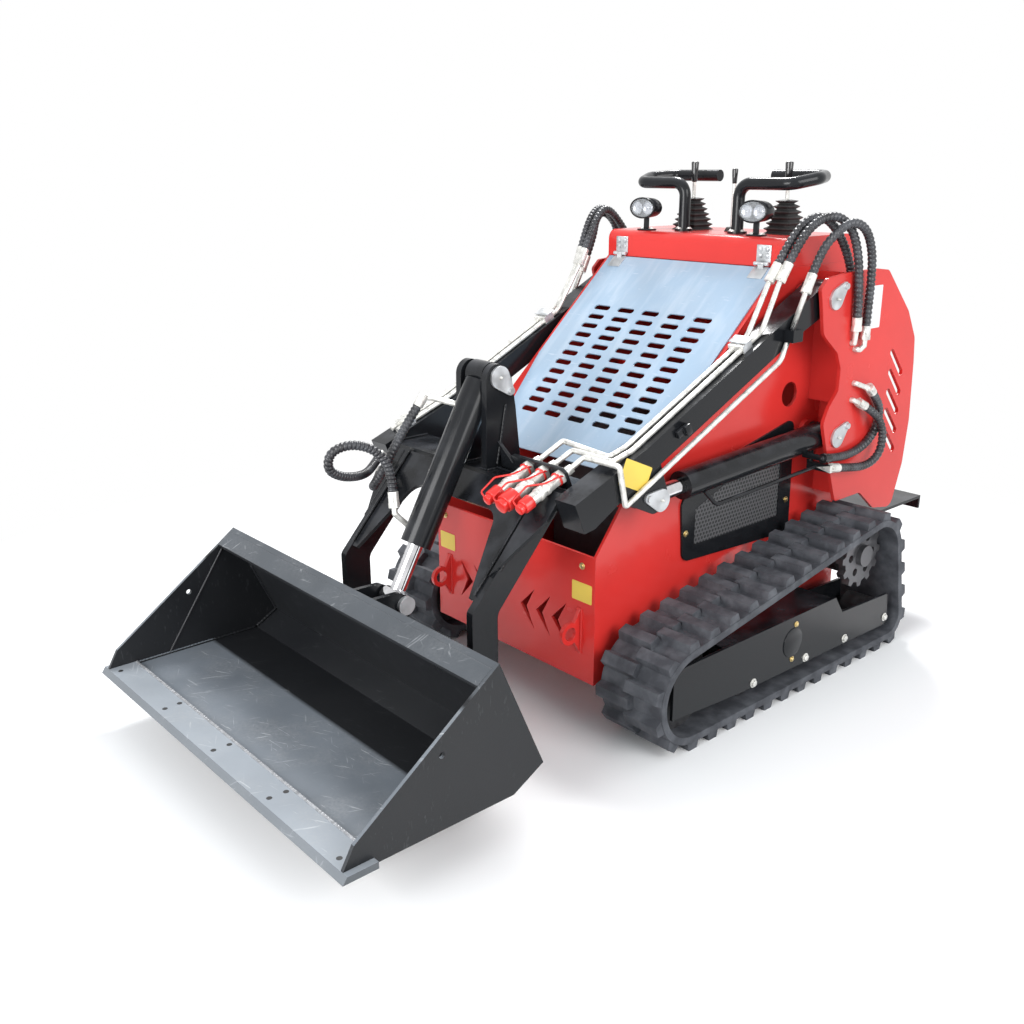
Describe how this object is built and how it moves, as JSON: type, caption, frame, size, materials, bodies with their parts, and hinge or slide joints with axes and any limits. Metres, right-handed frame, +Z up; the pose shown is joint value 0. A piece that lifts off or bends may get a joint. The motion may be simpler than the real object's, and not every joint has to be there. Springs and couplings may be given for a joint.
{
  "type": "small tracked stand-on skid steer loader with bucket",
  "caption": "Small stand-on loader on rubber tracks: lift arms with bent legs and tilting bucket, slotted engine hood, console with handles, hydraulic cylinders and hoses.",
  "frame": {"origin": "on the ground under the middle of the overall length and width", "axes": "+Z up, -Y towards the bucket, +X to the machine's own left side"},
  "size_m": [1.09, 2.204, 1.3141],
  "materials": {
    "red_paint": "glossy enamel",
    "black_paint": "glossy enamel, worn at edges",
    "hood_paint": "glossy enamel",
    "rubber": "matt moulded rubber",
    "hose_rubber": "spiral wrapped hose",
    "chrome": "polished",
    "zinc": "zinc plated",
    "steel": "painted casting"
  },
  "bodies": {
    "chassis": {"main_frame": "red_paint", "console": "red_paint", "engine_block": "steel", "vent_panels": "black_paint", "tower_left": "red_paint", "tower_right": "red_paint", "tower_pins": "zinc", "hood_hinges": "zinc", "track_left": "rubber", "track_right": "rubber", "track_frame_left": "black_paint", "track_frame_right": "black_paint", "track_wheels": "steel", "sprockets": "steel", "drive_motors": "steel", "stand_platform": "black_paint", "tow_eyes": "red_paint", "work_lamps": "black_paint", "grab_handles": "black_paint", "control_levers": "hose_rubber", "hose_fittings": "zinc", "arm_hose_left_a": "hose_rubber", "arm_hose_left_b": "hose_rubber", "arm_hose_left_c": "hose_rubber", "lift_hose_left_a": "hose_rubber", "lift_hose_left_b": "hose_rubber", "arm_hose_right_a": "hose_rubber", "arm_hose_right_b": "hose_rubber", "arm_hose_right_c": "hose_rubber", "lift_hose_right_a": "hose_rubber", "lift_hose_right_b": "hose_rubber"},
    "lift_arms": {"lift_arm_left": "black_paint", "lift_arm_right": "black_paint", "arm_yoke": "black_paint", "tilt_bracket": "black_paint", "coupler_plate": "black_paint", "quick_couplers": "zinc", "arm_lines": "zinc", "arm_pins": "zinc", "tilt_hose_a": "hose_rubber", "tilt_hose_b": "hose_rubber"},
    "bucket_body": {"bucket": "black_paint", "cutting_edge": "black_paint", "attach_plate": "black_paint", "attach_pins": "zinc"},
    "lift_barrel_left": {"lift_barrel_left": "black_paint"},
    "lift_rod_left": {"lift_rod_left": "chrome"},
    "lift_barrel_right": {"lift_barrel_right": "black_paint"},
    "lift_rod_right": {"lift_rod_right": "chrome"},
    "tilt_barrel": {"tilt_barrel": "black_paint"},
    "tilt_rod": {"tilt_rod": "chrome"},
    "hood": {"hood": "hood_paint"}
  },
  "joints": [
    {"name": "lift", "type": "hinge", "parent": "chassis", "child": "lift_arms", "pos_m": [0, 0.503, 0.986], "axis": [-1, 0, 0], "range_deg": [-4.5, 75], "deforming": ["arm_hose_left_a", "arm_hose_left_b", "arm_hose_left_c", "arm_hose_right_a", "arm_hose_right_b", "arm_hose_right_c"]},
    {"name": "bucket_tilt", "type": "hinge", "parent": "lift_arms", "child": "bucket_body", "pos_m": [0, -0.54, 0.19], "axis": [1, 0, 0], "range_deg": [-18, 45]},
    {"name": "hood_lid", "type": "hinge", "parent": "chassis", "child": "hood", "pos_m": [0, 0.396, 1.07], "axis": [-1, 0, 0], "range_deg": [0, 45]},
    {"name": "tilt_barrel_swing", "type": "hinge", "parent": "lift_arms", "child": "tilt_barrel", "pos_m": [0, -0.32, 0.845], "axis": [1, 0, 0], "range_deg": [-12, 25], "deforming": ["tilt_hose_a", "tilt_hose_b"]},
    {"name": "tilt_rod_slide", "type": "slide", "parent": "tilt_barrel", "child": "tilt_rod", "axis": [0, -0.4939, -0.8695], "range_m": [-0.08, 0.16]},
    {"name": "lift_barrel_left_swing", "type": "hinge", "parent": "chassis", "child": "lift_barrel_left", "pos_m": [0.35, 0.565, 0.617], "axis": [-1, 0, 0], "range_deg": [-8, 64], "deforming": ["lift_hose_left_a", "lift_hose_left_b"]},
    {"name": "lift_rod_left_slide", "type": "slide", "parent": "lift_barrel_left", "child": "lift_rod_left", "axis": [0, -0.9987, -0.0512], "range_m": [-0.05, 0.42]},
    {"name": "lift_barrel_right_swing", "type": "hinge", "parent": "chassis", "child": "lift_barrel_right", "pos_m": [-0.35, 0.565, 0.617], "axis": [-1, 0, 0], "range_deg": [-8, 64], "deforming": ["lift_hose_right_a", "lift_hose_right_b"]},
    {"name": "lift_rod_right_slide", "type": "slide", "parent": "lift_barrel_right", "child": "lift_rod_right", "axis": [0, -0.9987, -0.0512], "range_m": [-0.05, 0.42]}
  ],
  "couplings": [
    {"joint": "lift_barrel_left_swing", "follows": "lift", "ratio": 0.76785},
    {"joint": "lift_rod_left_slide", "follows": "lift", "m_per_rad": 0.287},
    {"joint": "lift_barrel_right_swing", "follows": "lift", "ratio": 0.76785},
    {"joint": "lift_rod_right_slide", "follows": "lift", "m_per_rad": 0.287},
    {"joint": "tilt_barrel_swing", "follows": "bucket_tilt", "ratio": -0.0733},
    {"joint": "tilt_rod_slide", "follows": "bucket_tilt", "m_per_rad": 0.16195}
  ]
}
